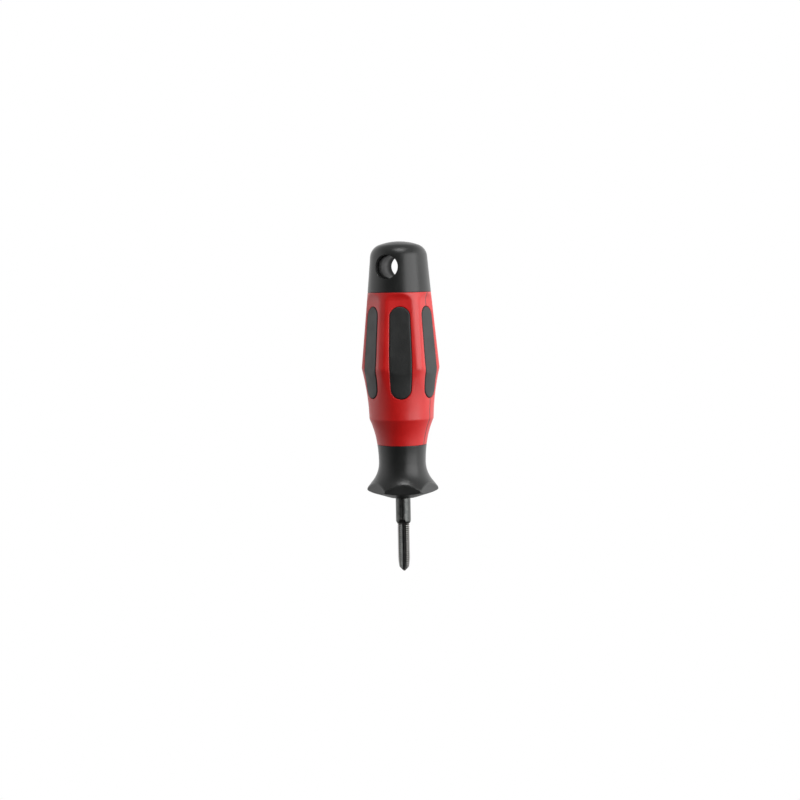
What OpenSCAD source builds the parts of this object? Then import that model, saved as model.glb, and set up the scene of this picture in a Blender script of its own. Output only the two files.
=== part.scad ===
// Hand tool for opening a tyre puncture and leading a plug into it.
// A short fluted and threaded steel shaft is set in a moulded handle of a hard core, a hand guard,
// a faceted grip sleeve with six soft pads in its windows, and an end cap with a hang hole.
// Frame: the shaft's point is at the origin, the handle rises along +Z and one grip pad faces -Y.

/* [Shaft] */
// Whole length of the steel shaft
shaft_l = 50; // [46:1:56]
// Length of shaft that stands out of the guard
shaft_out = 30.1; // [28:0.1:33]
// Outside diameter of the thread
thread_d = 5; // [4.8:0.1:5.4]
// Pitch of the thread
thread_pitch = 0.8; // [0.7:0.1:1]
// Height at which the thread stops, measured from the point
thread_top = 19.8; // [17:0.1:22]
// Diameter of the plain shank
shank_d = 6; // [5.8:0.1:6.4]
// Width across the flats of the square driving end
square_w = 4.9; // [4.5:0.1:5.2]
// Length of the square driving end
square_l = 8; // [6:0.5:10]
// Number of straight flutes
flute_n = 3; // [2:1:4]

/* [Guard] */
// Height of the guard, from its nose to the sleeve
guard_h = 21.4; // [21:0.1:23]
// Radius of the guard's rim
rim_r = 14.45; // [14:0.05:15]
// Distance from the axis to each of the rim's six flats
rim_flat_r = 12.45; // [12:0.05:13]
// Radius of the waist above the rim
waist_r = 9.43; // [9.2:0.01:9.8]
// Radius of the handle where guard and sleeve meet
lower_seam_r = 9.95; // [9.8:0.05:10.2]

/* [Grip sleeve] */
// Height of the grip sleeve
sleeve_h = 60.8; // [60:0.1:62]
// Radius at the step line below the pads
step_r = 12.9; // [12.7:0.1:13.1]
// Greatest radius of the handle
belly_r = 15.6; // [15.3:0.1:15.9]
// Distance from the axis to the facets at the belly
belly_flat_r = 14.25; // [14.1:0.05:14.4]
// Radius of the handle where sleeve and cap meet
upper_seam_r = 12.65; // [12.5:0.05:12.8]
// Thickness of the sleeve and the pads over the core
skin = 2.4; // [2:0.1:2.8]

/* [Grip pads] */
// Length of each pad
pad_l = 36.5; // [34:0.5:37]
// Greatest width of each pad
pad_w = 9.3; // [8.5:0.1:9.6]
// Width across each pad's round ends
pad_end_w = 8.2; // [7.6:0.1:8.4]
// Height of the pads over the facets
pad_rise = 0.15; // [0:0.05:0.3]

/* [End cap] */
// Height of the cap
cap_h = 20.2; // [19:0.1:22]
// Radius of the cap where its crown starts to round over
cap_top_r = 11.4; // [11.2:0.1:11.6]
// Wall of the cap over the core
cap_wall = 1.8; // [1.4:0.1:2.2]
// Radius of the hang hole through the core
hang_r = 4.6; // [4.3:0.1:4.8]
// How much wider the hole is through the cap's wall
hang_mouth = 0.2; // [0.1:0.05:0.4]
// Angle of the hang hole about the handle, from the front pad
hang_turn = 18.5; // [0:0.5:30]
// Distance between the axes of the hang hole and the handle
hang_offset = 1.55; // [0:0.05:2]

/* [Hidden] */
$fn = 96;
BLACK = "#2c2e2e";
PAD_BLACK = "#333533";
RED = "#b8242a";
STEEL = "#55565a";
SIDES = 6;
side_angle = 360 / SIDES;

// Heights along the axis
z_nose = shaft_out;
z_lower_seam = z_nose + guard_h;
z_upper_seam = z_lower_seam + sleeve_h;
z_crown = z_upper_seam + cap_h;
z_step = z_lower_seam + 10.4;
z_belly = z_lower_seam + 30.5;
z_break = z_belly - 1.7;

// Shaft
thread_r = thread_d / 2;
shank_r = shank_d / 2;
thread_depth = 0.56 * thread_pitch;
lock_groove_r = 2.6;
z_groove_top = z_nose + 1.5;
mouth_relief_r = shank_r + 0.1;
mouth_relief_h = 0.3;
point_r = 0.25;
point_top_r = 1.95;
point_top_z = 1.75;
lead_top_z = 5.5;
lead_depth_share = 0.7;
web_r = 1.05;
flute_r = 1.25;
flute_turn = -10;
flute_top = thread_top - 0.6;
z_shaft_top = shaft_l;

// Guard
nose_r = 5.6;
rim_edge = 0.55;
rim_drop = 0.2;
rim_low_sag = 0.22;
rim_high_sag = 0.14;
z_rim_low = z_nose + 2.7;
z_rim_high = z_nose + 4.4;
z_waist = z_nose + 14.2;
flare_r = 12;
flare_angle = 41;
waist_sag = 0.13;

// Core
core_neck_r = 7.2;
core_step = 2;
core_foot = 3.4;
head_gap = 0.4;

// Sleeve facets: their low end, their high end and the round in which they run out
z_facet_low = z_lower_seam + 13.5;
facet_low_r = step_r + 0.05;
facet_slope = 0.0805;
z_runout = z_upper_seam - 4.3;
z_facet_high = z_upper_seam - 0.5;
facet_high_r = upper_seam_r + 0.1;
runout_sag = 0.25;
facet_span = 24;
facet_reach = 9;
step_sag = 0.4;
flank_sag = 0.56;

// Pads
z_pad_top = z_upper_seam - 5.5;
z_pad_low = z_pad_top - pad_l;
pad_end_r = pad_end_w / 2;

// Cap
crown_r = 23.4;
shoulder_r = 5.5;
z_hang = z_upper_seam + 10.1;
hang_reach = 20;

// Points on the circular arc from p to q whose middle lies sag to the right of the way from p to q
function arc(p, q, sag, n = 12) =
    let (
        chord = q - p,
        half = norm(chord) / 2,
        radius = (half * half + sag * sag) / (2 * abs(sag)),
        along = chord / (2 * half),
        side = [along.y, -along.x] * sign(sag),
        centre = (p + q) / 2 + side * (abs(sag) - radius),
        sweep = asin(half / radius)
    )
    [for (i = [0:n]) let (a = sweep * (2 * i / n - 1)) centre + radius * (along * sin(a) + side * cos(a))];

// Outline of the sleeve's round body from its lower to its upper seam, moved out by grow
function sleeve_edge(grow) = [
    for (p = concat(
        arc([lower_seam_r, z_lower_seam], [step_r, z_step], -step_sag),
        arc([step_r, z_step], [belly_r, z_belly], -flank_sag),
        [[upper_seam_r, z_upper_seam]]
    )) p + [grow, 0]
];

// Outline of the guard from its nose to the lower seam
function guard_edge() =
    let (flare_end = [waist_r + flare_r * (1 - cos(flare_angle)), z_waist - flare_r * sin(flare_angle)])
    concat(
        [[nose_r, z_nose]],
        arc([rim_r - 2 * rim_edge, z_rim_low - rim_drop], [rim_r, z_rim_low + rim_edge], rim_low_sag, 5),
        arc([rim_r, z_rim_low + rim_edge], [rim_r - rim_edge, z_rim_high], rim_high_sag, 5),
        [for (i = [0:12]) let (a = flare_angle * (1 - i / 12))
            [waist_r + flare_r * (1 - cos(a)), z_waist - flare_r * sin(a)]],
        arc([waist_r, z_waist], [lower_seam_r, z_lower_seam], -waist_sag, 6)
    );

// Outline of the cap from the upper seam to the middle of its crown
function cap_edge() =
    let (
        inner_r = cap_top_r - shoulder_r,
        tilt = asin(inner_r / (crown_r - shoulder_r)),
        z_shoulder = z_crown - crown_r + (crown_r - shoulder_r) * cos(tilt)
    )
    concat(
        [[upper_seam_r, z_upper_seam]],
        [for (i = [0:14]) let (a = 90 - i * (90 - tilt) / 14)
            [inner_r + shoulder_r * sin(a), z_shoulder + shoulder_r * cos(a)]],
        [for (i = [1:8]) let (a = tilt * (1 - i / 8))
            [crown_r * sin(a), z_crown - crown_r * (1 - cos(a))]]
    );

// Solid of revolution under an outline, closed along the axis
module turned(edge) {
    last = edge[len(edge) - 1];
    closing = last.x > 0.001 ? [[0, last.y], [0, edge[0].y]] : [[0, edge[0].y]];
    rotate_extrude() polygon(concat(edge, closing));
}

// The six facets as cutters, moved out by grow
module facet_cutters(grow) {
    runout_r = belly_flat_r - facet_slope * (z_runout - z_break);
    edge = concat(
        [[facet_low_r, z_facet_low], [belly_flat_r, z_break]],
        arc([runout_r, z_runout], [facet_high_r, z_facet_high], -runout_sag, 6)
    );
    outline = concat(
        [for (p = edge) p + [grow, 0]],
        [[belly_r + facet_reach, z_facet_high], [belly_r + facet_reach, z_facet_low]]
    );
    for (i = [0:SIDES - 1])
        rotate([0, 0, i * side_angle - 90])
            rotate([90, 0, 0])
                linear_extrude(facet_span, center = true) polygon(outline);
}

// Faceted body of the handle between its two seams, moved out by grow
module sleeve_body(grow) {
    difference() {
        turned(sleeve_edge(grow));
        facet_cutters(grow);
    }
}

// Outline of one pad, seen square on to its facet
module pad_outline() {
    top = [0, z_pad_top - pad_end_r];
    low = [0, z_pad_low + pad_end_r];
    translate(top) circle(pad_end_r);
    translate(low) circle(pad_end_r);
    polygon([
        [-pad_end_r, low.y], [pad_end_r, low.y],
        [pad_w / 2, z_belly], [pad_end_r, top.y],
        [-pad_end_r, top.y], [-pad_w / 2, z_belly]
    ]);
}

// Prism through the handle's wall on one facet
module pad_prism(turn) {
    rotate([0, 0, turn]) rotate([90, 0, 0]) linear_extrude(belly_r + facet_reach) pad_outline();
}

// Round hole across the cap and the core's head
module hang_bore(r) {
    rotate([0, 0, -hang_turn])
        translate([-hang_offset, hang_reach, z_hang])
            rotate([90, 0, 0]) cylinder(r = r, h = 2 * hang_reach);
}

// Socket for the shaft: a relieved mouth, and a ring left standing that fills the locking groove
module shaft_socket() {
    translate([0, 0, z_nose - 1]) cylinder(r = mouth_relief_r, h = mouth_relief_h + 1);
    translate([0, 0, z_nose - 1]) cylinder(r = lock_groove_r, h = z_groove_top - z_nose + 2);
    translate([0, 0, z_groove_top]) cylinder(r = shank_r, h = z_shaft_top - square_l - z_groove_top);
    square_end();
}

// Square driving end of the shaft, its corners rounded by the shank
module square_end() {
    intersection() {
        translate([0, 0, z_shaft_top - square_l]) cylinder(r = shank_r, h = square_l);
        translate([-square_w / 2, -square_w / 2, z_shaft_top - square_l - 1])
            cube([square_w, square_w, square_l + 1]);
    }
}

// Hard core inside the whole handle
module core_body() {
    turned([
        [nose_r, z_nose], [nose_r, z_nose + core_foot],
        [core_neck_r, z_nose + core_foot + core_step],
        [core_neck_r, z_step - core_step], [step_r - skin, z_step + core_step / 2],
        [step_r - skin, z_step + core_step]
    ]);
    difference() {
        turned([for (p = sleeve_edge(-skin)) if (p.y > z_step + core_step / 2) p]);
        facet_cutters(-skin);
    }
    turned([
        [upper_seam_r - skin, z_upper_seam], [cap_top_r - skin, z_crown - shoulder_r - cap_wall],
        [cap_top_r - shoulder_r, z_crown - 2 * cap_wall], [0, z_crown - cap_wall - head_gap]
    ]);
}

// One straight flute, which ends in a round hollow in the shank
module flute_cutter() {
    translate([0, -web_r - flute_r, -1]) cylinder(r = flute_r, h = flute_top + 1);
    translate([0, -web_r - flute_r, flute_top]) sphere(r = flute_r);
}

// Steel shaft: point, tapered lead, thread, plain shank, locking groove and square end
module tap_shaft() {
    turns = floor((thread_top - point_top_z) / thread_pitch);
    function crest(z) = z > lead_top_z ? thread_r
        : point_top_r + (thread_r - point_top_r) * (z - point_top_z) / (lead_top_z - point_top_z);
    thread = [
        for (i = [0:turns - 1])
            let (z = point_top_z + i * thread_pitch)
            let (depth = thread_depth * (z > lead_top_z ? 1 : lead_depth_share))
            each [[crest(z), z], [crest(z) - depth, z + thread_pitch / 2]]
    ];
    z_thread_end = point_top_z + turns * thread_pitch;
    color(STEEL) {
        difference() {
            turned(concat(
                [[point_r, 0]], thread,
                [[thread_r, z_thread_end], [shank_r, z_thread_end + 1], [shank_r, z_nose]],
                [[lock_groove_r, z_nose], [lock_groove_r, z_groove_top]],
                [[shank_r, z_groove_top], [shank_r, z_shaft_top - square_l]]
            ));
            for (i = [0:flute_n - 1]) rotate([0, 0, flute_turn + i * 360 / flute_n]) flute_cutter();
        }
        square_end();
    }
}

// Hard core that carries the shaft and the mouldings
module handle_core() {
    color(BLACK)
        difference() {
            core_body();
            shaft_socket();
            hang_bore(hang_r);
        }
}

// Flared hand guard with six flats on its rim
module hand_guard() {
    color(BLACK)
        difference() {
            turned(guard_edge());
            for (i = [0:SIDES - 1])
                rotate([0, 0, i * side_angle])
                    translate([-facet_span / 2, -rim_r - facet_reach, z_nose - 1])
                        cube([facet_span, rim_r + facet_reach - rim_flat_r, guard_h]);
            core_body();
        }
}

// Faceted grip sleeve with a window for each pad
module grip_sleeve() {
    color(RED)
        difference() {
            difference() {
                sleeve_body(0);
                core_body();
                for (i = [0:2:SIDES - 1]) pad_prism(i * side_angle);
            }
            for (i = [1:2:SIDES - 1]) pad_prism(i * side_angle);
        }
}

// One soft pad, which fills its window down to the core
module grip_pad(turn) {
    color(PAD_BLACK)
        difference() {
            intersection() {
                sleeve_body(pad_rise);
                pad_prism(turn);
            }
            core_body();
        }
}

module pad_front() { grip_pad(0); }
module pad_front_right() { grip_pad(side_angle); }
module pad_back_right() { grip_pad(2 * side_angle); }
module pad_back() { grip_pad(3 * side_angle); }
module pad_back_left() { grip_pad(4 * side_angle); }
module pad_front_left() { grip_pad(5 * side_angle); }

// Domed cap over the core's head, crossed by the hang hole
module end_cap() {
    color(BLACK)
        difference() {
            turned(cap_edge());
            core_body();
            hang_bore(hang_r + hang_mouth);
        }
}

tap_shaft();
handle_core();
hand_guard();
grip_sleeve();
pad_front();
pad_front_right();
pad_back_right();
pad_back();
pad_back_left();
pad_front_left();
end_cap();
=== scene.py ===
"""Looks of the tyre plug insertion tool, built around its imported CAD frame.

Lengths in this file are millimetres until a mesh is made, and heights are measured from the shaft's point.
Each side of the handle is modelled in its own upright frame: u runs across the side, out is the distance
from the handle's axis towards the side, and z is the height.
"""
import math

import bmesh
import bpy
import numpy as np
from mathutils import Matrix, Vector


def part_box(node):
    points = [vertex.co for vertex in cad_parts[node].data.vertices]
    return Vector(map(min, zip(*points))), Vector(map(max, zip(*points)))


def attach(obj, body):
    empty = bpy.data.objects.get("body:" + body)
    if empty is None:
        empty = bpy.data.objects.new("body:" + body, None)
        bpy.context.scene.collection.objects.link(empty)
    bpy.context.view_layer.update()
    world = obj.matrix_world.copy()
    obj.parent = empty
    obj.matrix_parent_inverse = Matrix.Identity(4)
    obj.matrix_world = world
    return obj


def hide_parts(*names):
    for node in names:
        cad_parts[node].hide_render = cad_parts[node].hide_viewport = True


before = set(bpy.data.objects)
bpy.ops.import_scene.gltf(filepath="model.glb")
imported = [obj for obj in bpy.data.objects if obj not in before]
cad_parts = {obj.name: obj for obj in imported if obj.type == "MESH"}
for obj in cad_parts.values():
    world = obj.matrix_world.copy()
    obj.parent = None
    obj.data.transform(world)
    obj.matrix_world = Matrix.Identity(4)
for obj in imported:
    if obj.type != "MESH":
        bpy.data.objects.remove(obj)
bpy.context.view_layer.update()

MM = 0.001


def heights(node):
    """Lowest and highest point of a CAD node."""
    low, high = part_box(node)
    return low.z / MM, high.z / MM


# Heights that the frame fixes
Z_NOSE, Z_LOWER_SEAM = heights("hand_guard")
Z_UPPER_SEAM, Z_CROWN = heights("end_cap")
Z_PAD_LOW, Z_PAD_TOP = heights("pad_front")
Z_SHAFT_TOP = heights("tap_shaft")[1]

# Handle
SIDES = 6
SIDE_ANGLE = 2 * math.pi / SIDES
Z_STEP = Z_LOWER_SEAM + 10.4
Z_BELLY = Z_LOWER_SEAM + 30.5
Z_BREAK = Z_BELLY - 1.7
LOWER_SEAM_R = 9.95
STEP_R = 12.9
BELLY_R = 15.6
UPPER_SEAM_R = 12.65
BELLY_FLAT_R = 14.25
FACET_SLOPE = 0.0805
NECK_SAG = 0.4
FLANK_SAG = 0.56
BELLY_ROUND = 0.2
STEP_ROUND = 0.16
FACET_ROUND = 0.25
RIB_ROUND = 0.35
SLEEVE_WALL = 2.4
SEAM_ROUND = 0.22

# Guard
NOSE_R = 5.6
RIM_R = 14.42
RIM_FLAT_R = 12.45
RIM_ROUND = 0.34
WAIST_R = 9.43
WAIST_SAG = 0.13
Z_WAIST = Z_NOSE + 14.2
FLARE_R = 12.0
FLARE_ANGLE = math.radians(41)

# Core under the skins: it is round up to its flats, which lie under the sleeve's
CORE_NECK_R = 7.2
Z_CORE_NECK = Z_STEP - 2.0
Z_CORE_STEP = Z_STEP + 1.0
Z_CORE_FLATS = Z_STEP + 2.0

# Pads
PAD_W = 9.3
PAD_END_W = 8.2
PAD_RISE = 0.12
PAD_GAP = 0.09
PAD_LIP = 0.42
WINDOW_LIP = 0.3

# Cap and hang hole
CAP_TOP_R = 11.4
CROWN_R = 23.4
SHOULDER_R = 5.5
SHOULDER_CENTRE_R = CAP_TOP_R - SHOULDER_R
CAP_WALL = 1.8
HANG_R = 4.8
HANG_RIM = 0.18
HANG_TURN = math.radians(18.5)
HANG_OFFSET = 1.55
Z_HANG = Z_UPPER_SEAM + 10.1

# Shaft
POINT_R = 0.12
THREAD_R = 2.5
THREAD_PITCH = 0.8
THREAD_DEPTH = 0.42
Z_LEAD_TOP = 5.5
Z_THREAD_TOP = 19.3
Z_SHANK_LOW = 20.3
LOCK_GROOVE_R = 2.6
Z_GROOVE_TOP = Z_NOSE + 1.5
STEP_H = 0.02
SHANK_R = 3.0
SQUARE_W = 4.9
SQUARE_L = 8.0
FLUTES = 3
FLUTE_R = 1.25
WEB_R = 1.05
FLUTE_TURN = math.radians(-10)
Z_FLUTE_TOP = 19.0
FLUTE_WHEEL_R = 2.0
NO_FLUTE_R = 99.0


# ---------------------------------------------------------------- outlines

def soft_min(a, b, blend):
    """The smaller of a and b, with the corner between them rounded over a width of blend."""
    h = np.clip(0.5 + 0.5 * (b - a) / blend, 0.0, 1.0)
    return b + (a - b) * h - blend * h * (1.0 - h)


def smooth_step(t):
    t = np.clip(t, 0.0, 1.0)
    return t * t * (3.0 - 2.0 * t)


def hollow_arc(z, low, high, sag):
    """Radius at height z of the hollow arc through two (radius, height) points, carried on past both."""
    (r0, z0), (r1, z1) = low, high
    chord = math.hypot(r1 - r0, z1 - z0)
    arc_r = (chord * chord / 4 + sag * sag) / (2 * sag)
    reach = (arc_r - sag) / chord
    centre_r = (r0 + r1) / 2 + (z1 - z0) * reach
    centre_z = (z0 + z1) / 2 - (r1 - r0) * reach
    return centre_r - np.sqrt(np.maximum(arc_r**2 - (z - centre_z) ** 2, 0.0))


def flank_r(z):
    """Radius of the hollow flank below the belly."""
    return hollow_arc(z, (STEP_R, Z_STEP), (BELLY_R, Z_BELLY), FLANK_SAG)


def taper_r(z):
    """Radius of the straight taper above the belly."""
    return BELLY_R + (UPPER_SEAM_R - BELLY_R) * (z - Z_BELLY) / (Z_UPPER_SEAM - Z_BELLY)


def body_r(z):
    """Radius of the sleeve's round body, with its belly and its step slightly rounded."""
    neck = hollow_arc(z, (LOWER_SEAM_R, Z_LOWER_SEAM), (STEP_R, Z_STEP), NECK_SAG)
    return soft_min(soft_min(taper_r(z), flank_r(z), BELLY_ROUND), neck, STEP_ROUND)


def flat_out(z):
    """Distance from the axis of one flat above the belly."""
    return BELLY_FLAT_R - FACET_SLOPE * (z - Z_BREAK)


def facet_out(u, z):
    """Distance of one facet's surface from the axis: flat above the belly, slightly crowned below it."""
    z_runout, runout_l = Z_UPPER_SEAM - 3.5, 2.9
    depth = taper_r(z_runout) - flat_out(z_runout)
    scoop = taper_r(z) - depth * (1 - ((z - z_runout) / runout_l) ** 2)
    upper = np.where(z > z_runout, scoop, flat_out(z))
    # the lower facet fades in above the step, below which it lies clear of the round body
    z_fade = Z_STEP + 4.0
    z_lift, lift_l, lift_share = Z_STEP - 1.0, 6.0, 0.04
    lower_crown_r = 32.0
    fade = smooth_step((z - z_fade) / (Z_BREAK - z_fade))
    lift = lift_share * (1 - smooth_step((z - z_lift) / lift_l))
    share = 1 - fade * (1 - BELLY_FLAT_R / flank_r(Z_BREAK)) + lift
    lower = flank_r(z) * share - u * u / (2 * lower_crown_r)
    return soft_min(upper, lower, FACET_ROUND)


def side_out(u, z):
    """Distance from the axis of the sleeve's whole surface on one side."""
    round_out = np.sqrt(np.maximum(body_r(z) ** 2 - u * u, 0.0))
    return soft_min(facet_out(u, z), round_out, RIB_ROUND)


def core_r(z):
    """Radius of the core's round body under the sleeve, down to its neck under the guard."""
    under_sleeve = np.array([STEP_R, STEP_R, BELLY_R, UPPER_SEAM_R]) - SLEEVE_WALL
    stops = [Z_CORE_NECK, Z_CORE_STEP, Z_CORE_FLATS, Z_BELLY, Z_UPPER_SEAM]
    return np.interp(z, stops, [CORE_NECK_R, *under_sleeve])


def core_out(u, z):
    """Distance from the axis of the core's surface under the sleeve on one side."""
    round_out = np.sqrt(np.maximum(core_r(z) ** 2 - u * u, 0.0))
    return np.where(z > Z_CORE_FLATS, np.minimum(facet_out(u, z) - SLEEVE_WALL, round_out), round_out)


# ---------------------------------------------------------------- mesh making

# Points that agree to this many decimals of a millimetre become one
WELD_DECIMALS = 4


class Skin:
    """Collects grids of points and welds them into one closed mesh.

    Each point carries a mark: above 0 it is rubbed (on the shaft also a painted highlight), below 0 it is
    painted shade, and 0 is neither.
    """

    def __init__(self):
        self.points = []
        self.faces = []
        self.marks = []
        self.count = 0

    def grid(self, points, mark=0.0, wrap=False):
        """Adds a grid of points [rows, columns, 3] and its marks. wrap joins the last column to the first."""
        rows, cols = points.shape[:2]
        ids = self.count + np.arange(rows * cols).reshape(rows, cols)
        if wrap:
            ids = np.column_stack([ids, ids[:, 0]])
        quads = np.stack([ids[:-1, :-1], ids[:-1, 1:], ids[1:, 1:], ids[1:, :-1]], axis=-1)
        self.faces.append(quads.reshape(-1, 4))
        self.points.append(points.reshape(-1, 3))
        self.marks.append(np.broadcast_to(mark, (rows, cols)).reshape(-1).astype(float))
        self.count += rows * cols
        return self

    def object(self, name):
        """Makes the mesh object, in metres, with the marks in a point attribute that holds both rubbed edges
        and painted light.
        """
        points = np.vstack(self.points)
        keys = np.round(points, WELD_DECIMALS)
        _, first, welded = np.unique(keys, axis=0, return_index=True, return_inverse=True)
        welded = welded.reshape(-1)
        faces = []
        for quad in welded[np.vstack(self.faces)]:
            ring = [int(v) for k, v in enumerate(quad) if v != quad[k - 1]]
            if len(ring) > 2 and len(set(ring)) == len(ring):
                faces.append(ring)
        mesh = bpy.data.meshes.new(name)
        mesh.from_pydata([tuple(p) for p in points[first] * MM], [], faces)
        mesh.validate()
        shape = bmesh.new()
        shape.from_mesh(mesh)
        bmesh.ops.recalc_face_normals(shape, faces=shape.faces)
        if shape.calc_volume(signed=True) < 0:
            bmesh.ops.reverse_faces(shape, faces=shape.faces)
        shape.to_mesh(mesh)
        shape.free()
        wear_and_painted_light = mesh.attributes.new("wear_and_painted_light", "FLOAT", "POINT")
        wear_and_painted_light.data.foreach_set("value", np.concatenate(self.marks)[first].astype(np.float32))
        mesh.shade_smooth()
        piece = bpy.data.objects.new(name, mesh)
        bpy.context.scene.collection.objects.link(piece)
        return piece


def turned(points, angle):
    """Points (u, out, z) of one side, turned about the axis to where that side is."""
    u, out, z = points[..., 0], points[..., 1], points[..., 2]
    x, y = u, -out
    c, s = math.cos(angle), math.sin(angle)
    return np.stack([x * c - y * s, x * s + y * c, z], axis=-1)


def spun(radii, z, columns):
    """Grid of a turned outline: radii [rows] or [rows, columns] at angles columns and heights z [rows]."""
    radii = np.broadcast_to(np.asarray(radii, float).reshape(len(z), -1), (len(z), len(columns)))
    levels = np.broadcast_to(np.asarray(z)[:, None], radii.shape)
    return np.stack([radii * np.cos(columns), radii * np.sin(columns), levels], axis=-1)


def ladder(*stretches):
    """Values joined from (start, end, steps) stretches, each one divided evenly."""
    parts = [np.linspace(start, end, steps, endpoint=False) for start, end, steps in stretches]
    return np.concatenate([*parts, [stretches[-1][1]]])


def straight(start, end):
    """Rings from one loop of points straight to another, with one between them."""
    return np.array([start + (end - start) * share for share in (0, 0.5, 1)])


# ---------------------------------------------------------------- sleeve and pads

# Centres of the round ends of a window, and the heights between them of the points on its straight sides
Z_ARC_LOW = Z_PAD_LOW + PAD_END_W / 2
Z_ARC_TOP = Z_PAD_TOP - PAD_END_W / 2
Z_FINE_LOW = Z_BELLY - 4
Z_FINE_TOP = Z_BELLY + 1.2
SIDE_ROWS = ladder((Z_ARC_LOW, Z_FINE_LOW, 10), (Z_FINE_LOW, Z_FINE_TOP, 22), (Z_FINE_TOP, Z_ARC_TOP, 48))

# The patch of surface that holds a window: its foot and top, and the steps up its corners and across it
Z_PATCH_LOW = Z_PAD_LOW - 3.4
Z_PATCH_TOP = Z_PAD_TOP + 2.6
CORNER_ROWS = 12
TOP_COLS = 24
ARC_N = 2 * CORNER_ROWS + TOP_COLS

# Rounds in which a point settles on its ray; each cuts what is left to a third or less
RAY_STEPS = 30


def sector_u(share, z, out=side_out):
    """Place u where the surface meets the ray whose share runs from -1 at one rib to 1 at the other."""
    slope = np.tan(share * math.pi / SIDES)
    u = 0.0 * (share + z)
    for _ in range(RAY_STEPS):
        u = out(u, z) * slope
    return u


def pad_outline(grow=0.0):
    """Points (u, z) of a window's outline, moved outward by grow.

    They run counter-clockwise from the right side's lowest row: right side, top, left side, foot.
    """
    end_r = PAD_END_W / 2
    ease, ease_l = 0.16, 3.0
    half = np.interp(SIDE_ROWS, [Z_ARC_LOW, Z_BELLY, Z_ARC_TOP], [end_r, PAD_W / 2, end_r])
    # the widest place is a gentle curve, not a corner
    half = half - ease * np.exp(-(((SIDE_ROWS - Z_BELLY) / ease_l) ** 2)) + grow
    turn = np.linspace(0, math.pi, ARC_N + 1)[1:-1]
    end = end_r + grow
    right = np.column_stack([half, SIDE_ROWS])
    top = np.column_stack([end * np.cos(turn), Z_ARC_TOP + end * np.sin(turn)])
    left = np.column_stack([-half, SIDE_ROWS])[::-1]
    foot = np.column_stack([-end * np.cos(turn), Z_ARC_LOW - end * np.sin(turn)])
    return np.vstack([right, top, left, foot])


def patch_border():
    """Points (share, z) around the patch that holds a window, in the order of pad_outline."""
    low_rows = np.linspace(Z_ARC_LOW, Z_PATCH_LOW, CORNER_ROWS + 1)[1:]
    top_rows = np.linspace(Z_ARC_TOP, Z_PATCH_TOP, CORNER_ROWS + 1)[1:]
    across = np.linspace(1, -1, TOP_COLS + 1)[1:-1]

    def side(share, rows):
        return [(share, z) for z in rows]

    top = side(1, top_rows) + [(a, Z_PATCH_TOP) for a in across] + side(-1, top_rows[::-1])
    foot = side(-1, low_rows) + [(-a, Z_PATCH_LOW) for a in across] + side(1, low_rows[::-1])
    return np.array(side(1, SIDE_ROWS) + top + side(-1, SIDE_ROWS[::-1]) + foot)


def on_surface(u, z, out):
    """Points (u, out, z) of the surface out(u, z)."""
    return np.stack([u, out(u, z), z + 0 * u], axis=-1)


def window_patch(out, steps, grow):
    """Rings on the surface out(u, z) from a window's outline, moved outward by grow, to the patch border."""
    border = patch_border()
    border_u = sector_u(border[:, 0], border[:, 1], out)
    rim = pad_outline(grow)
    crowding = 1.25
    rings = []
    for share in np.linspace(0, 1, steps + 1) ** crowding:
        u = rim[:, 0] + (border_u - rim[:, 0]) * share
        z = rim[:, 1] + (border[:, 1] - rim[:, 1]) * share
        rings.append(on_surface(u, z, out))
    return np.array(rings)


def filled_window(out, steps, grow):
    """Rings on the surface out(u, z) from a window's outline, moved outward by grow, to its middle line."""
    rim = pad_outline(grow)
    middle_z = np.clip(rim[:, 1], Z_ARC_LOW, Z_ARC_TOP)
    rings = []
    for share in np.linspace(0, 1, steps + 1):
        rings.append(on_surface(rim[:, 0] * (1 - share), rim[:, 1] + (middle_z - rim[:, 1]) * share, out))
    return np.array(rings)


def rounded_lip(out, steps, grow, lip):
    """Rings that round the edge between a wall along the outline and the surface out(u, z).

    The wall stands where grow moves the outline. lip is the rounding's radius: above 0 the surface lies
    outside the wall, below 0 it lies inside.
    """
    rings = []
    for turn in np.linspace(math.pi / 2, 0, steps + 1):
        rim = pad_outline(grow + lip * (1 - math.sin(turn)))
        ring = on_surface(rim[:, 0], rim[:, 1], out)
        ring[:, 1] -= abs(lip) * (1 - math.cos(turn))
        rings.append(ring)
    return np.array(rings)


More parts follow.
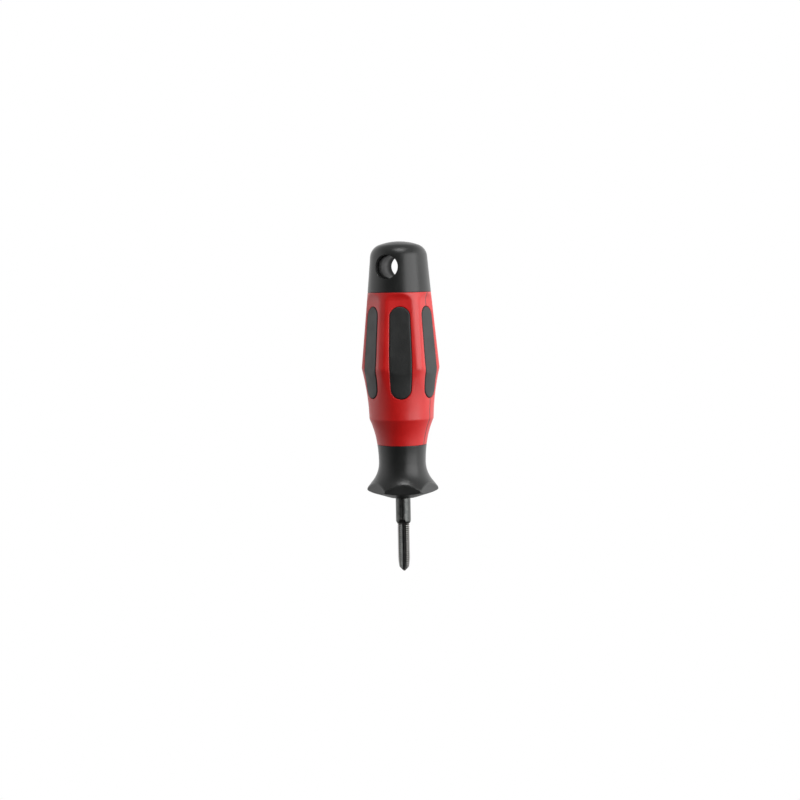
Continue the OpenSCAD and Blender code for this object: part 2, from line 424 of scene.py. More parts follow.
def make_sleeve():
    """Red faceted sleeve: six sides, each with a window whose rim is rounded."""
    shares = np.linspace(-1, 1, TOP_COLS + 1)
    neck_steps, step_band = 16, 1.2
    low_rows = ladder(
        (Z_LOWER_SEAM + SEAM_ROUND, Z_STEP - step_band, neck_steps),
        (Z_STEP - step_band, Z_STEP + step_band, 14),
        (Z_STEP + step_band, Z_PATCH_LOW, 10),
    )
    top_rows = ladder((Z_PATCH_TOP, Z_UPPER_SEAM - SEAM_ROUND, 22))

    def surface_rows(rows, out=side_out):
        z, share = np.meshgrid(rows, shares, indexing="ij")
        return on_surface(sector_u(share, z, out), z, out)

    def rounded_end(z_end, way):
        """Rows that round the sleeve's edge over into its end face; way is 1 at the top, -1 at the foot."""
        turn = np.linspace(0, math.pi / 2, 6)
        z, share = np.meshgrid(z_end - way * SEAM_ROUND * (1 - np.sin(turn)), shares, indexing="ij")
        edge_z = z_end - way * SEAM_ROUND + 0 * z
        u = sector_u(share, edge_z)
        out = side_out(u, edge_z)
        shrink = 1 - SEAM_ROUND * (1 - np.cos(turn))[:, None] / np.hypot(u, out)
        return np.stack([u * shrink, out * shrink, z], axis=-1)

    foot = rounded_end(Z_LOWER_SEAM, -1)
    head = rounded_end(Z_UPPER_SEAM, 1)
    lip = rounded_lip(side_out, 6, 0, WINDOW_LIP)
    inner_rim = on_surface(*pad_outline().T, core_out)
    inner_low = surface_rows([Z_LOWER_SEAM, *low_rows[neck_steps:]], core_out)
    inner_top = surface_rows([Z_PATCH_TOP, Z_UPPER_SEAM], core_out)
    outside = (surface_rows(low_rows), surface_rows(top_rows), foot, head)
    window = (
        window_patch(side_out, 14, WINDOW_LIP),
        lip,
        straight(lip[0], inner_rim),
        window_patch(core_out, 3, 0),
    )
    end_faces = (np.array([foot[-1], inner_low[0]]), np.array([head[-1], inner_top[-1]]))
    skin = Skin()
    for side in range(SIDES):
        for parts, wrap in ((outside, False), (window, True), ((inner_low, inner_top, *end_faces), False)):
            for part in parts:
                skin.grid(turned(part, side * SIDE_ANGLE), wrap=wrap)
    return skin.object("sleeve_skin")


def make_pad(name, angle):
    """One soft pad: crowned edge, top that follows its facet, walls and underside down to the core."""
    def top_out(u, z):
        return side_out(u, z) + PAD_RISE

    top = filled_window(top_out, 12, -PAD_GAP - PAD_LIP)
    lip = rounded_lip(top_out, 7, -PAD_GAP, -PAD_LIP)
    foot = filled_window(core_out, 4, -PAD_GAP)
    skin = Skin()
    for part in (top, lip, straight(lip[0], foot[0]), foot):
        skin.grid(turned(part, angle), wrap=True)
    return skin.object(name)


# ---------------------------------------------------------------- guard

def bent(start, corner, end, steps):
    """Points of the curve from start to end that is drawn towards corner."""
    start, corner, end = np.array(start), np.array(corner), np.array(end)
    shares = np.linspace(0, 1, steps + 1)
    return [(1 - t) ** 2 * start + 2 * t * (1 - t) * corner + t * t * end for t in shares]


def rounded_corner(before, corner, after, rounding):
    """Points of the short curve that rounds the corner between two neighbours."""
    before, corner, after = np.array(before), np.array(corner), np.array(after)
    start = corner + (before - corner) / np.linalg.norm(before - corner) * rounding
    end = corner + (after - corner) / np.linalg.norm(after - corner) * rounding
    return bent(start, corner, end, 6)


def resampled(outline, spacing):
    """The outline's points with more between them, so that no step is longer than spacing(point)."""
    points = [outline[0]]
    for a, b in zip(outline[:-1], outline[1:]):
        n = max(1, math.ceil(np.linalg.norm(b - a) / spacing((a + b) / 2)))
        points += [a + (b - a) * k / n for k in range(1, n + 1)]
    return np.array(points)


def guard_outline():
    """The guard's turned outline as (radius, height) points: mouth, nose, rim, flare, waist, seam, bore."""
    mouth = (NOSE_R, Z_NOSE + 3.4)
    nose, nose_round = (NOSE_R, Z_NOSE), 0.12
    bore_low, bore_top = (CORE_NECK_R, Z_NOSE + 5.4), (CORE_NECK_R, Z_LOWER_SEAM)

    under, over = (RIM_R - 1.0, Z_NOSE + 2.53), (RIM_R - 0.62, Z_NOSE + 4.5)
    low_corner, rim_side, high_corner = [(RIM_R, Z_NOSE + rise) for rise in (2.85, 3.28, 3.72)]
    rim = bent(under, low_corner, rim_side, 8) + bent(rim_side, high_corner, over, 8)[1:]

    flare = [
        (WAIST_R + FLARE_R * (1 - math.cos(a)), Z_WAIST - FLARE_R * math.sin(a))
        for a in np.linspace(FLARE_ANGLE, 0, 40)
    ]
    waist_z = np.linspace(Z_WAIST, Z_LOWER_SEAM - SEAM_ROUND, 16)[1:]
    waist_r = hollow_arc(waist_z, (WAIST_R, Z_WAIST), (LOWER_SEAM_R, Z_LOWER_SEAM), WAIST_SAG)
    seam_r = LOWER_SEAM_R - 0.02
    seam = [
        (seam_r - SEAM_ROUND * (1 - math.cos(a)), Z_LOWER_SEAM - SEAM_ROUND * (1 - math.sin(a)))
        for a in np.linspace(0, math.pi / 2, 6)[1:]
    ]
    rounded_nose = rounded_corner(mouth, nose, under, nose_round)
    waist = zip(waist_r, waist_z)
    return np.array([mouth, *rounded_nose, *rim, *flare, *waist, *seam, bore_top, bore_low, mouth])


def make_guard():
    """Flared guard: a turned outline whose rim is cut by six flats, with all its edges rounded."""
    fine, coarse, fine_zone = 0.13, 0.5, 1.2

    def spacing(point):
        return fine if point[0] > RIM_FLAT_R - fine_zone else coarse

    outline = resampled(guard_outline(), spacing)
    columns = np.linspace(0, 2 * math.pi, SIDES * 72, endpoint=False) + math.pi / 2
    across = (columns + math.pi / 2 + SIDE_ANGLE / 2) % SIDE_ANGLE - SIDE_ANGLE / 2
    flat = RIM_FLAT_R / np.cos(across)
    r = outline[:, :1]
    radii = soft_min(r + 0 * columns, flat + 0 * r, RIM_ROUND)
    # the edges along the flats are the ones that wear
    wear_w, wear_zone = 0.35, 0.6
    wear_and_painted_light = np.where(r > RIM_FLAT_R - wear_zone, np.exp(-(((r - flat) / wear_w) ** 2)), 0.0)
    skin = Skin()
    skin.grid(spun(radii, outline[:, 1], columns), mark=wear_and_painted_light, wrap=True)
    return skin.object("guard_skin")


# ---------------------------------------------------------------- cap

Z_SHOULDER = Z_CROWN - CROWN_R + math.sqrt((CROWN_R - SHOULDER_R) ** 2 - SHOULDER_CENTRE_R**2)

# The wall that the hang hole goes through: its foot, its tops outside and inside, and its rows
Z_WALL_LOW = Z_UPPER_SEAM + 3.3
Z_WALL_TOP = Z_CROWN - 2.9
Z_HOLLOW_TOP = Z_CROWN - 3.9
WALL_ROWS = 44

# Heights of the dome over the core's head
Z_DOME_LOW = Z_CROWN - 2 * CAP_WALL
Z_DOME_TOP = Z_CROWN - CAP_WALL - 0.4

# The wall's columns as (start, end, steps) in angles: around the hole's two mouths, and between them
NEAR_SPAN = (math.radians(-58), math.radians(38))
FAR_SPAN = (math.pi - NEAR_SPAN[1], math.pi - NEAR_SPAN[0])
NEAR_COLUMNS = (*NEAR_SPAN, 44)
WIDE_COLUMNS = (NEAR_SPAN[1], FAR_SPAN[0], 44)
FAR_COLUMNS = (*FAR_SPAN, 44)
NARROW_COLUMNS = (FAR_SPAN[1], 2 * math.pi + NEAR_SPAN[0], 28)
ALL_ROUND = ladder(NEAR_COLUMNS, WIDE_COLUMNS, FAR_COLUMNS, NARROW_COLUMNS)[:-1]


def cap_r(z):
    """Radius of the cap at a height on its side or its shoulder."""
    lean = math.atan((UPPER_SEAM_R - CAP_TOP_R) / (Z_SHOULDER - Z_UPPER_SEAM))
    touch_z = Z_SHOULDER + SHOULDER_R * math.sin(lean)
    touch_r = SHOULDER_CENTRE_R + SHOULDER_R * math.cos(lean)
    side = UPPER_SEAM_R + (touch_r - UPPER_SEAM_R) * (z - Z_UPPER_SEAM) / (touch_z - Z_UPPER_SEAM)
    shoulder = SHOULDER_CENTRE_R + np.sqrt(np.maximum(SHOULDER_R**2 - (z - Z_SHOULDER) ** 2, 0.0))
    return np.where(z < touch_z, side, shoulder)


def cap_inner_r(z):
    """Radius of the hollow that the core's head fills."""
    stops = [Z_UPPER_SEAM, Z_CROWN - SHOULDER_R - CAP_WALL, Z_DOME_LOW, Z_DOME_TOP]
    return np.interp(z, stops, [UPPER_SEAM_R - SLEEVE_WALL, CAP_TOP_R - SLEEVE_WALL, SHOULDER_CENTRE_R, 0.0])


def on_cap(r, angle, z):
    """Points (u, out, z) at a radius and at an angle from the side of the hang hole's near mouth."""
    return np.stack(np.broadcast_arrays(r * np.sin(angle), r * np.cos(angle), z), axis=-1)


def holed_wall(skin, radius, z_top, hole_r, steps):
    """Adds a round wall up to z_top with the hang hole's two openings.

    Returns the function that gives the loop at a hole radius, and the side, for the near and the far one.
    """
    z_rows = np.linspace(Z_WALL_LOW, z_top, WALL_ROWS + 1)
    crowding = 1.3

    def on_wall(angle, z):
        return on_cap(radius(z), angle, z)

    for columns in (WIDE_COLUMNS, NARROW_COLUMNS):
        z, angle = np.meshgrid(z_rows, ladder(columns), indexing="ij")
        skin.grid(turned(on_wall(angle, z), -HANG_TURN))
    loops = []
    for columns, way in ((NEAR_COLUMNS, 1), (FAR_COLUMNS, -1)):
        span = ladder(columns)
        border = np.concatenate([
            on_wall(span, Z_WALL_LOW),
            on_wall(span[-1], z_rows)[1:-1],
            on_wall(span[::-1], z_top),
            on_wall(span[0], z_rows[::-1])[1:-1],
        ])
        alpha = np.arctan2(border[:, 2] - Z_HANG, border[:, 0] + HANG_OFFSET)

        def ring(u, z, way=way):
            return np.stack([u, way * np.sqrt(np.maximum(radius(z) ** 2 - u * u, 0.0)), z], axis=-1)

        def hole_loop(r, ring=ring, alpha=alpha):
            return ring(r * np.cos(alpha) - HANG_OFFSET, r * np.sin(alpha) + Z_HANG)

        start = hole_loop(hole_r)
        patch = []
        for share in np.linspace(0, 1, steps + 1) ** crowding:
            u = start[:, 0] + (border[:, 0] - start[:, 0]) * share
            z = start[:, 2] + (border[:, 2] - start[:, 2]) * share
            patch.append(ring(u, z))
        patch[-1] = border
        skin.grid(turned(np.array(patch), -HANG_TURN), wrap=True)
        loops.append((hole_loop, way))
    return loops


def make_cap():
    """Domed cap with a rounded rim at each end of its hang hole, hollow for the core's head."""
    skin = Skin()
    outer = holed_wall(skin, cap_r, Z_WALL_TOP, HANG_R + HANG_RIM, 14)
    inner = holed_wall(skin, cap_inner_r, Z_HOLLOW_TOP, HANG_R, 4)
    # the rounded rim is rubbed, and painted shade starts at its foot and lines the hole
    marks = np.array([0.8] * 6 + [0.2, -0.5] + [-1.0] * 5)[:, None]
    for (outer_loop, way), (inner_loop, _) in zip(outer, inner):
        rim = []
        for turn in np.linspace(0, math.pi / 2, 9):
            loop = outer_loop(HANG_R + HANG_RIM * (1 - math.sin(turn)))
            loop[:, 1] -= way * HANG_RIM * (1 - math.cos(turn))
            rim.append(loop)
        depth = inner_loop(HANG_R) - rim[-1]
        rim += [rim[-1] + depth * share for share in (0.25, 0.5, 0.75, 1.0)]
        skin.grid(turned(np.array(rim), -HANG_TURN), mark=marks, wrap=True)

    def add_rows(radii, z):
        radii, z = np.array(radii, float)[:, None], np.array(z, float)[:, None]
        skin.grid(turned(on_cap(radii, ALL_ROUND, z), -HANG_TURN), wrap=True)

    turn = np.linspace(0, math.pi / 2, 6)
    seam_r = cap_r(Z_UPPER_SEAM + SEAM_ROUND) - SEAM_ROUND * (1 - np.cos(turn))
    add_rows(seam_r, Z_UPPER_SEAM + SEAM_ROUND * (1 - np.sin(turn)))
    side_z = np.linspace(Z_UPPER_SEAM + SEAM_ROUND, Z_WALL_LOW, 8)
    add_rows(cap_r(side_z), side_z)
    crown_angle = math.asin(SHOULDER_CENTRE_R / (CROWN_R - SHOULDER_R))
    rise = np.linspace(math.asin((Z_WALL_TOP - Z_SHOULDER) / SHOULDER_R), math.pi / 2 - crown_angle, 12)
    add_rows(SHOULDER_CENTRE_R + SHOULDER_R * np.cos(rise), Z_SHOULDER + SHOULDER_R * np.sin(rise))
    fall = np.linspace(crown_angle, 0, 16)
    add_rows(CROWN_R * np.sin(fall), Z_CROWN - CROWN_R * (1 - np.cos(fall)))
    for inner_z in ([Z_UPPER_SEAM, Z_WALL_LOW], [Z_HOLLOW_TOP, Z_DOME_LOW, Z_DOME_TOP]):
        add_rows(cap_inner_r(inner_z), inner_z)
    add_rows([seam_r[-1], cap_inner_r(Z_UPPER_SEAM)], [Z_UPPER_SEAM, Z_UPPER_SEAM])
    return skin.object("cap_skin")


# ---------------------------------------------------------------- shaft

def flute_limit(columns, z):
    """Radius at which the flutes end the steel at each height and angle; NO_FLUTE_R where there is none."""
    run = np.clip(z - Z_FLUTE_TOP, 0.0, FLUTE_WHEEL_R - 0.01)
    lift = FLUTE_WHEEL_R - np.sqrt(FLUTE_WHEEL_R**2 - run**2)
    centre = (WEB_R + FLUTE_R + lift)[:, None]
    spread = 2 * math.pi / FLUTES
    first = -math.pi / 2 + FLUTE_TURN
    across = (columns - first + spread / 2) % spread - spread / 2
    inside = FLUTE_R**2 - (centre * np.sin(across)) ** 2
    near = centre * np.cos(across) - np.sqrt(np.maximum(inside, 0.0))
    return np.where(inside > 0, near, NO_FLUTE_R)


def make_shaft():
    """Steel shaft: true helical thread, straight flutes, plain shank, locking groove and square end."""
    z_square = Z_SHAFT_TOP - SQUARE_L
    point_top, threads_top, runouts_top = 2.2, 20.6, 25.6
    rows = ladder(
        (0.0, point_top, 36), (point_top, threads_top, 230), (threads_top, runouts_top, 30),
        (runouts_top, Z_NOSE - STEP_H, 8), (Z_NOSE - STEP_H, Z_NOSE, 1), (Z_NOSE, Z_GROOVE_TOP, 6),
        (Z_GROOVE_TOP, Z_GROOVE_TOP + STEP_H, 1), (Z_GROOVE_TOP + STEP_H, z_square - STEP_H, 8),
        (z_square - STEP_H, z_square + STEP_H, 2), (z_square + STEP_H, Z_SHAFT_TOP, 6),
    )
    columns = np.linspace(0, 2 * math.pi, 288, endpoint=False)
    z = rows[:, None]
    # the (height, radius) corners of point, lead taper, thread, shank, locking groove and square end
    envelope = np.interp(z, *np.array([
        (0.0, POINT_R), (0.12, 0.42), (1.75, 1.95), (Z_LEAD_TOP, THREAD_R),
        (Z_THREAD_TOP, THREAD_R), (Z_SHANK_LOW, SHANK_R),
        (Z_NOSE - STEP_H, SHANK_R), (Z_NOSE, LOCK_GROOVE_R),
        (Z_GROOVE_TOP, LOCK_GROOVE_R), (Z_GROOVE_TOP + STEP_H, SHANK_R), (z_square, SHANK_R),
    ]).T)

    # the thread: tooth is 0 in the root's middle and 1 on the crest's
    first_z, run_in, last_z, run_out = 1.2, 0.8, 18.9, 1.0
    tooth_slope, root_flat, thread_round, flute_round = 1.9, 0.25, 0.03, 0.05
    phase = (z / THREAD_PITCH - columns / (2 * math.pi)) % 1.0
    tooth = 1 - np.abs(2 * phase - 1)
    ridge = np.clip(tooth_slope * tooth - root_flat, 0.0, 1.0)
    thread_fade = smooth_step((z - first_z) / run_in) * (1 - smooth_step((z - last_z) / run_out))
    threaded = THREAD_R - THREAD_DEPTH * (1 - ridge) * thread_fade
    threaded = np.where(z > Z_THREAD_TOP, threaded + (envelope - THREAD_R).clip(0), threaded)
    limit = flute_limit(columns, rows)
    cut = soft_min(soft_min(envelope + 0 * threaded, threaded, thread_round), limit, flute_round)

    quarter = math.pi / 2
    across = (columns + quarter / 2) % quarter - quarter / 2
    square = np.minimum(SQUARE_W / 2 / np.cos(across), SHANK_R)
    radii = np.where(z > z_square, square, cut)

    # crests and the flutes' edges are marked bright, partly rubbed steel and partly a painted highlight; the
    # roots are marked for painted shade
    wear_w, crest_drop, root_drop, crest_top, edge_top = 0.12, 0.16, 0.2, 19.6, 22
    crest = np.clip((radii - (envelope - crest_drop)) / wear_w, 0, 1) * (z < crest_top)
    edge = np.exp(-(((limit - envelope) / wear_w) ** 2)) * (z < edge_top)
    root = np.clip((THREAD_R - root_drop - threaded) / wear_w, 0, 1) * (limit > threaded) * thread_fade
    wear_and_painted_light = np.clip(np.maximum(crest, edge), 0, 1) - root

    skin = Skin()
    skin.grid(spun(radii, rows, columns), mark=wear_and_painted_light, wrap=True)
    # the point's tip is marked bright: rubbed steel and a painted highlight
    skin.grid(spun([[0.0], [POINT_R]], [0.0, 0.0], columns), mark=1.0, wrap=True)
    skin.grid(spun([square, 0 * square], [Z_SHAFT_TOP, Z_SHAFT_TOP], columns), wrap=True)
    return skin.object("shaft_steel")


# ---------------------------------------------------------------- materials

def map_range(nodes, links, value, from_range, to_range, blend="LINEAR"):
    """Maps value from one (low, high) range to another, held at both ends."""
    node = nodes.new("ShaderNodeMapRange")
    node.interpolation_type = blend
    for name, number in zip(("From Min", "From Max", "To Min", "To Max"), (*from_range, *to_range)):
        node.inputs[name].default_value = number
    links.new(value, node.inputs["Value"])
    return node.outputs["Result"]


class Finish:
    """A principled material under construction, with helpers for its procedural nodes."""

    def __init__(self, name):
        self.material = bpy.data.materials.new(name)
        self.material.use_nodes = True
        self.nodes = self.material.node_tree.nodes
        self.links = self.material.node_tree.links
        self.shader = self.nodes["Principled BSDF"]
        self.place = self.nodes.new("ShaderNodeTexCoord").outputs["Object"]

    def set(self, **values):
        """Sets plain values; a blank in a socket's name is written as _."""
        for name, value in values.items():
            self.shader.inputs[name.replace("_", " ")].default_value = value
        return self

    def noise(self, size_mm, detail=3.0, rough=0.55, stretch=None):
        """Noise whose blobs are about size_mm across; stretch squeezes it along an axis."""
        place = self.place
        if stretch:
            mapping = self.nodes.new("ShaderNodeMapping")
            mapping.inputs["Scale"].default_value = stretch
            self.links.new(place, mapping.inputs["Vector"])
            place = mapping.outputs["Vector"]
        node = self.nodes.new("ShaderNodeTexNoise")
        node.inputs["Scale"].default_value = 1000.0 / size_mm
        node.inputs["Detail"].default_value = detail
        node.inputs["Roughness"].default_value = rough
        self.links.new(place, node.inputs["Vector"])
        return node.outputs["Fac"]

    def cells(self, size_mm):
        """Distance to the nearest of scattered points that are about size_mm apart."""
        node = self.nodes.new("ShaderNodeTexVoronoi")
        node.inputs["Scale"].default_value = 1000.0 / size_mm
        self.links.new(self.place, node.inputs["Vector"])
        return node.outputs["Distance"]

    def wear_and_painted_light(self):
        """The mesh's marks: above 0 is rubbed (on the shaft also a painted highlight), below 0 is painted
        shade.
        """
        node = self.nodes.new("ShaderNodeAttribute")
        node.attribute_name = "wear_and_painted_light"
        return node.outputs["Fac"]

    def along(self, x, y):
        """Distance from the axis along a level direction, in metres."""
        node = self.nodes.new("ShaderNodeVectorMath")
        node.operation = "DOT_PRODUCT"
        node.inputs[1].default_value = (x, y, 0.0)
        self.links.new(self.place, node.inputs[0])
        return node.outputs["Value"]

    def parting(self, azimuth, half_mm):
        """1 on the thin line in which the upright plane at an azimuth cuts the surface, 0 beside it."""
        a = math.radians(azimuth)
        waver = self.span(self.noise(2.5, 3.0), 0.3, 0.7, -0.08 * MM, 0.08 * MM)
        off = self.maths("ABSOLUTE", self.sum(self.along(math.cos(a), math.sin(a)), waver))
        return self.span(off, 0.4 * half_mm * MM, half_mm * MM, 1.0, 0.0)

    def span(self, value, low, high, to_low=0.0, to_high=1.0):
        """Maps value from low..high to to_low..to_high, held at both ends."""
        return map_range(self.nodes, self.links, value, (low, high), (to_low, to_high))

    def maths(self, kind, a, b=0.0):
        """One Math node over numbers or sockets."""
        node = self.nodes.new("ShaderNodeMath")
        node.operation = kind
        for socket, value in zip(node.inputs, (a, b)):
            if isinstance(value, (int, float)):
                socket.default_value = value
            else:
                self.links.new(value, socket)
        return node.outputs["Value"]

    def sum(self, a, b):
        return self.maths("ADD", a, b)

    def mix(self, share, a, b):
        """Colour between a and b by share; each is a colour or a socket."""
        node = self.nodes.new("ShaderNodeMix")
        node.data_type = "RGBA"
        for socket, value in ((node.inputs[0], share), (node.inputs[6], a), (node.inputs[7], b)):
            if isinstance(value, (tuple, float, int)):
                socket.default_value = value
            else:
                self.links.new(value, socket)
        return node.outputs[2]

    def colour(self, socket):
        self.links.new(socket, self.shader.inputs["Base Color"])
        return self

    def roughness(self, socket):
        self.links.new(socket, self.shader.inputs["Roughness"])
        return self

    def bump(self, *layers):
        """Bump from (height socket, depth in mm) layers, laid one over the other."""
        normal = None
        for height, depth_mm in layers:
            node = self.nodes.new("ShaderNodeBump")
            node.inputs["Strength"].default_value = 1.0
            node.inputs["Distance"].default_value = depth_mm * MM
            self.links.new(height, node.inputs["Height"])
            if normal:
                self.links.new(normal, node.inputs["Normal"])
            normal = node.outputs["Normal"]
        self.links.new(normal, self.shader.inputs["Normal"])
        return self


def rgb(r, g, b):
    return (r, g, b, 1.0)


def black_plastic():
    """Satin moulded plastic with a fine grain, polished on rubbed edges, with painted shade that darkens and
    dulls the lining of the hang hole.
    """
    f = Finish("black_plastic")
    mottle = f.span(f.noise(6.0, 4.0), 0.35, 0.65)
    grain = f.noise(0.22, 2.0)
    base = f.mix(mottle, rgb(0.019, 0.020, 0.0195), rgb(0.024, 0.025, 0.0245))
    base = f.mix(f.span(f.wear_and_painted_light(), 0.2, 1.0, 0.0, 0.5), base, rgb(0.05, 0.052, 0.05))
    # painted shade: the hang hole's lining, marked below 0, is darkened towards near black and made rougher
    painted_hole_shade = f.span(f.wear_and_painted_light(), -1.0, -0.2, 1.0, 0.0)
    f.colour(f.mix(painted_hole_shade, base, rgb(0.005, 0.005, 0.005)))
    polish = f.span(f.wear_and_painted_light(), 0, 1, 0.0, -0.06)
    f.roughness(f.sum(f.sum(f.span(mottle, 0, 1, 0.29, 0.34), polish), f.span(painted_hole_shade, 0, 1, 0.0, 0.5)))
    f.bump((grain, 0.012), (f.noise(1.4, 2.0), 0.01))
    return f.set(Specular_IOR_Level=0.5).material


def red_plastic():
    """Red moulded plastic with a fine grain, a faint mottle and the mould's parting line down two sides."""
    f = Finish("red_plastic")
    mottle = f.span(f.noise(7.0, 4.0), 0.35, 0.65)
    speck = f.span(f.noise(0.5, 2.0), 0.62, 0.74)
    base = f.mix(mottle, rgb(0.69, 0.0105, 0.0095), rgb(0.75, 0.0135, 0.012))
    base = f.mix(f.span(speck, 0, 1, 0, 0.25), base, rgb(0.50, 0.009, 0.009))
    line = f.parting(azimuth=60, half_mm=0.36)
    f.colour(f.mix(f.span(line, 0, 1, 0, 0.9), base, rgb(0.09, 0.006, 0.006)))
    f.roughness(f.span(mottle, 0, 1, 0.35, 0.41))
    f.bump((f.noise(0.2, 2.0), 0.01), (f.noise(1.8, 2.0), 0.012), (f.span(line, 0, 1, 1, 0), 0.07))
    return f.set(Specular_IOR_Level=0.65).material


def pad_rubber():
    """Soft black rubber with a leathery grain and a dusty bloom."""
    f = Finish("pad_rubber")
    bloom = f.span(f.noise(5.0, 5.0, 0.6), 0.4, 0.7)
    f.colour(f.mix(bloom, rgb(0.014, 0.0152, 0.0148), rgb(0.021, 0.0225, 0.0218)))
    f.roughness(f.span(bloom, 0, 1, 0.46, 0.56))
    f.bump((f.cells(0.35), 0.02), (f.noise(0.16, 2.0), 0.012))
    return f.set(Specular_IOR_Level=0.55).material


def core_plastic():
    """Hard black core plastic, with painted shade that darkens and dulls it towards both mouths of the hang
    hole.
    """
    f = Finish("core_plastic")
    mottle = f.span(f.noise(4.0, 3.0), 0.35, 0.65)
    base = f.mix(mottle, rgb(0.009, 0.0093, 0.0096), rgb(0.013, 0.0134, 0.0138))
    # painted shade in the hang hole: the bore darkens between 3 mm and 7.5 mm from the axis, measured along
    # the hole
    unshaded_to, shaded_from = 3.0 * MM, 7.5 * MM
    depth = f.maths("ABSOLUTE", f.along(-math.sin(HANG_TURN), -math.cos(HANG_TURN)))
    painted_hole_shade = f.span(depth, unshaded_to, shaded_from)
    f.colour(f.mix(painted_hole_shade, base, rgb(0.003, 0.003, 0.003)))
    f.roughness(f.sum(f.span(mottle, 0, 1, 0.42, 0.52), f.span(painted_hole_shade, 0, 1, 0.0, 0.4)))
    f.bump((f.noise(0.6, 2.0), 0.006))
    return f.set(Specular_IOR_Level=0.36).material


def tap_steel():
    """Black-oxide steel with ground streaks along the flutes; crests, flute edges and the point turn bright,
    partly rubbed steel and partly a painted highlight, and the thread's roots are darkened as painted shade.
    """
    f = Finish("tap_steel")
    patch = f.noise(1.6, 5.0, 0.65)
    streak = f.noise(0.5, 3.0, 0.6, (1.0, 1.0, 0.12))
    # painted highlight and rubbed steel: marked crests, flute edges and the point mix towards bright steel
    wear_and_painted_glint = f.maths("MULTIPLY", f.wear_and_painted_light(), f.span(patch, 0.3, 0.7, 0.6, 1.0))
    wear_and_painted_glint = f.span(wear_and_painted_glint, 0.25, 0.8)
    oxide = f.mix(f.span(patch, 0.35, 0.65), rgb(0.085, 0.090, 0.088), rgb(0.15, 0.152, 0.148))
    # painted shade: the thread's roots, marked below 0, darken towards near black
    oxide = f.mix(f.span(f.wear_and_painted_light(), -1.0, 0.0, 1.0, 0.0), oxide, rgb(0.015, 0.015, 0.014))
    f.colour(f.mix(wear_and_painted_glint, oxide, rgb(0.42, 0.41, 0.39)))
    f.roughness(f.sum(f.span(streak, 0.3, 0.7, 0.26, 0.44), f.span(wear_and_painted_glint, 0, 1, 0.0, -0.08)))
    f.bump((streak, 0.008), (f.noise(0.12, 2.0), 0.003))
    return f.set(Metallic=1.0).material


# ---------------------------------------------------------------- putting it together

def dress(piece, nodes, material):
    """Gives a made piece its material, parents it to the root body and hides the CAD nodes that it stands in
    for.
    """
    piece.data.materials.append(material)
    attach(piece, "root")
    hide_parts(*nodes)
    return piece


def build_tool():
    black, red, rubber = black_plastic(), red_plastic(), pad_rubber()
    core, steel = core_plastic(), tap_steel()
    dress(make_shaft(), ["tap_shaft"], steel)
    dress(make_guard(), ["hand_guard"], black)
    dress(make_sleeve(), ["grip_sleeve"], red)
    dress(make_cap(), ["end_cap"], black)
    for side, place in enumerate(["front", "front_right", "back_right", "back", "back_left", "front_left"]):
        pad = make_pad("soft_pad_" + place, side * SIDE_ANGLE)
        dress(pad, ["pad_" + place], rubber)
    core_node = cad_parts["handle_core"]
    core_node.data.materials.clear()
    core_node.data.materials.append(core)


# Point that the lights face, in metres
MIDDLE = (0, 0, Z_CROWN * MM * 0.6)


def area_light(name, azimuth, elevation, distance, width, height, power):
    """Soft box that faces MIDDLE from an azimuth (0 towards -Y, 90 towards +X), elevation and distance."""
    data = bpy.data.lights.new(name, "AREA")
    data.shape = "RECTANGLE"
    data.size, data.size_y = width, height
    data.energy = power
    light = bpy.data.objects.new(name, data)
    a, e = math.radians(azimuth), math.radians(elevation)
    towards = Vector((math.sin(a) * math.cos(e), -math.cos(a) * math.cos(e), math.sin(e)))
    light.location = Vector(MIDDLE) + distance * towards
    light.rotation_mode = "QUATERNION"
    light.rotation_quaternion = (-towards).to_track_quat("-Z", "Y")
    bpy.context.scene.collection.objects.link(light)


def surround(nodes, links, direction):
    """Strength of the room's light from a direction: dark in front, overhead and below, bright elsewhere."""
    split = nodes.new("ShaderNodeSeparateXYZ")
    links.new(direction, split.inputs["Vector"])
    strength = None
    # part of the direction, the range of it over which the light changes, and the strengths at its two ends
    for axis, part_range, strengths in (
        ("Y", (-0.85, 0.15), (0.03, 1.0)),
        ("X", (0.2, 0.9), (1.0, 1.4)),
        ("Z", (0.3, 0.9), (1.0, 0.35)),
        ("Z", (-0.75, -0.12), (0.15, 1.0)),
    ):
        factor = map_range(nodes, links, split.outputs[axis], part_range, strengths, "SMOOTHSTEP")
        if strength is None:
            strength = factor
            continue
        both = nodes.new("ShaderNodeMath")
        both.operation = "MULTIPLY"
        links.new(strength, both.inputs[0])
        links.new(factor, both.inputs[1])
        strength = both.outputs["Value"]
    return strength


def plain_white_to_camera(nodes, links, glow, white, output):
    """Shows the camera plain white, and everything else the glow."""
    choose = nodes.new("ShaderNodeMixShader")
    links.new(nodes.new("ShaderNodeLightPath").outputs["Is Camera Ray"], choose.inputs["Fac"])
    links.new(glow.outputs[0], choose.inputs[1])
    links.new(white.outputs[0], choose.inputs[2])
    links.new(choose.outputs[0], nodes[output].inputs["Surface"])


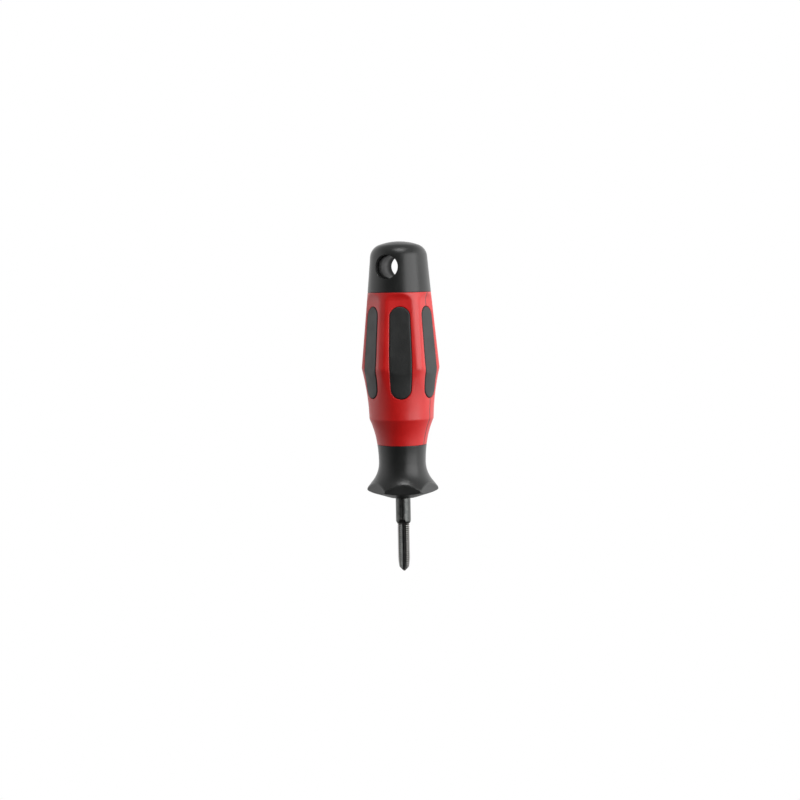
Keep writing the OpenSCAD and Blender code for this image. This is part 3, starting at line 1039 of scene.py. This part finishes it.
def light_studio():
    """White room with a broad soft box at the right and a small one overhead."""
    world = bpy.data.worlds.new("studio")
    bpy.context.scene.world = world
    world.use_nodes = True
    nodes, links = world.node_tree.nodes, world.node_tree.links
    glow = nodes["Background"]
    glow.inputs["Color"].default_value = (1, 1, 1, 1)
    white = nodes.new("ShaderNodeBackground")
    white.inputs["Color"].default_value = (1, 1, 1, 1)
    direction = nodes.new("ShaderNodeTexCoord").outputs["Generated"]
    links.new(surround(nodes, links, direction), glow.inputs["Strength"])
    plain_white_to_camera(nodes, links, glow, white, "World Output")
    area_light("key", azimuth=48, elevation=9, distance=0.9, width=0.92, height=0.85, power=6.9)
    area_light("top", azimuth=12, elevation=68, distance=0.8, width=0.34, height=0.24, power=1.9)


def lay_floor():
    """Plain pale floor well below the point, so that no shadow or horizon crosses the view."""
    mesh = bpy.data.meshes.new("floor")
    half, depth = 30.0, -0.25
    corners = [(-half, -half, depth), (half, -half, depth), (half, half, depth), (-half, half, depth)]
    mesh.from_pydata(corners, [], [(0, 1, 2, 3)])
    floor = bpy.data.objects.new("floor", mesh)
    bpy.context.scene.collection.objects.link(floor)
    material = bpy.data.materials.new("pale_floor")
    material.use_nodes = True
    nodes, links = material.node_tree.nodes, material.node_tree.links
    glow = nodes.new("ShaderNodeEmission")
    white = nodes.new("ShaderNodeEmission")
    from_tool = nodes.new("ShaderNodeVectorMath")
    from_tool.operation = "SUBTRACT"
    from_tool.inputs[1].default_value = MIDDLE
    links.new(nodes.new("ShaderNodeNewGeometry").outputs["Position"], from_tool.inputs[0])
    way = nodes.new("ShaderNodeVectorMath")
    way.operation = "NORMALIZE"
    links.new(from_tool.outputs["Vector"], way.inputs[0])
    links.new(surround(nodes, links, way.outputs["Vector"]), glow.inputs["Strength"])
    plain_white_to_camera(nodes, links, glow, white, "Material Output")
    mesh.materials.append(material)


def set_camera():
    """Long lens at about arm's length, level with the upper grip and pitched a little down."""
    sideways, distance, height = -0.0005, 0.662, 0.1201
    pitch, roll = math.radians(4.4), math.radians(1.07)
    lens_over_sensor = 2.07
    data = bpy.data.cameras.new("camera")
    data.sensor_width = 36.0
    data.lens = lens_over_sensor * data.sensor_width
    camera = bpy.data.objects.new("camera", data)
    camera.rotation_mode = "QUATERNION"
    camera.location = (sideways, -distance, height)
    ahead = Vector((0, math.cos(pitch), -math.sin(pitch)))
    level = ahead.to_track_quat("-Z", "Y")
    camera.rotation_quaternion = level @ Matrix.Rotation(-roll, 3, "Z").to_quaternion()
    bpy.context.scene.collection.objects.link(camera)
    bpy.context.scene.camera = camera


set_camera()
build_tool()
light_studio()
lay_floor()
bpy.context.scene.view_settings.view_transform = "Standard"
